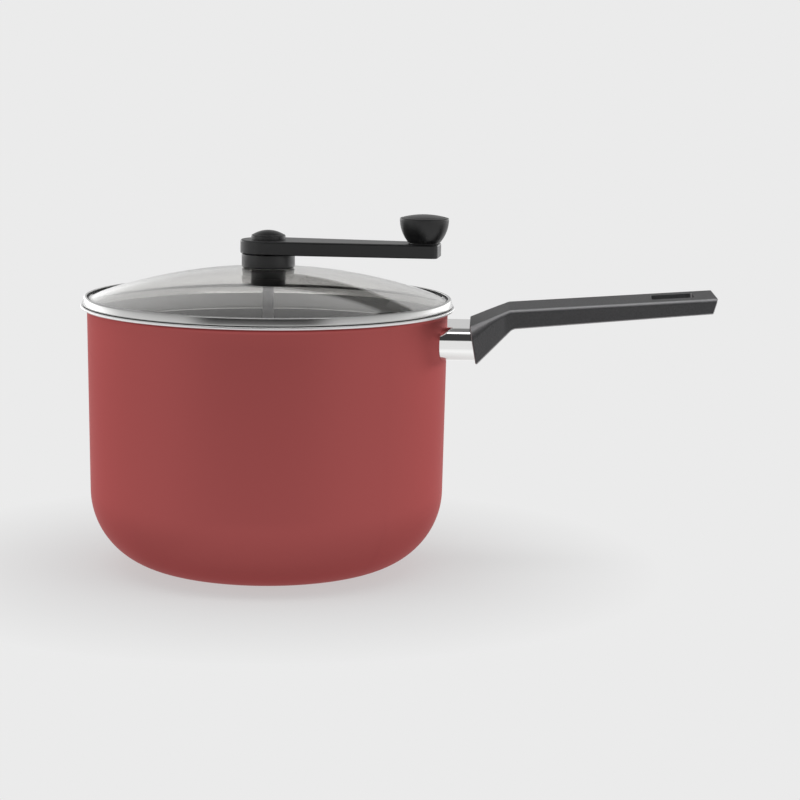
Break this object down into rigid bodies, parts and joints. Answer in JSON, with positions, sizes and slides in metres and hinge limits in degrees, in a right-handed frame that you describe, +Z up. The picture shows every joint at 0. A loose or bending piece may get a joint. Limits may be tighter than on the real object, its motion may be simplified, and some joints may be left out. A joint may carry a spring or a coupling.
{
  "type": "stovetop popcorn popper",
  "caption": "Round-cornered pot with a domed glass lid, a long side handle and a hand crank on the lid that turns a stirrer to pop corn on a hob.",
  "frame": {"origin": "centre of the pot's flat base, on the surface that the pot stands on", "axes": "+Z up along the pot and crank axis, +X along the side handle away from the pot, -Y towards the user's side of the pictured view"},
  "size_m": [0.3923, 0.2318, 0.2226],
  "materials": {
    "red_enamel": "satin",
    "aluminium": "satin",
    "polished_steel": "polished",
    "ring_steel": "satin",
    "shaft_steel": "satin",
    "fastener_steel": "plated",
    "grip_phenolic": "fine grain",
    "black_nylon": "semi-matte",
    "white_acetal": "smooth",
    "tempered_glass": "polished",
    "dark_silicone": "matte",
    "clear_silicone": "matte"
  },
  "bodies": {
    "pot": {"pot_body": "red_enamel", "handle_bracket": "aluminium", "handle_ferrule": "polished_steel", "handle_grip": "grip_phenolic", "handle_screw": "fastener_steel", "handle_screw_washer": "fastener_steel"},
    "lid": {"lid_glass": "tempered_glass", "lid_ring": "ring_steel", "lid_seal": "dark_silicone", "hub_collar": "black_nylon", "hub_upper_gasket": "clear_silicone", "hub_lower_gasket": "clear_silicone", "hub_nut": "black_nylon", "shaft_bush": "white_acetal"},
    "crank": {"crank_arm": "black_nylon", "crank_cap": "black_nylon", "crank_screw": "fastener_steel", "crank_washer": "fastener_steel", "thrust_washer": "white_acetal", "stir_shaft": "shaft_steel", "stirrer_hub": "aluminium", "stirrer_pin": "fastener_steel", "stirrer_blade_a": "shaft_steel", "stirrer_blade_b": "shaft_steel", "blade_rivets": "fastener_steel", "stirrer_wire": "shaft_steel", "knob_pin": "fastener_steel", "knob_pin_clip": "fastener_steel", "knob_washer": "black_nylon"},
    "knob": {"knob": "black_nylon", "knob_cap": "black_nylon"}
  },
  "joints": [
    {"name": "lid_lift", "type": "slide", "parent": "pot", "child": "lid", "axis": [0, 0, 1], "range_m": [0, 0.22]},
    {"name": "crank_spin", "type": "hinge", "parent": "lid", "child": "crank", "pos_m": [0, 0, 0.1954], "axis": [0, 0, 1], "continuous": true},
    {"name": "knob_spin", "type": "hinge", "parent": "crank", "child": "knob", "pos_m": [0.09677, -0.01017, 0.2048], "axis": [0, 0, 1], "continuous": true}
  ]
}
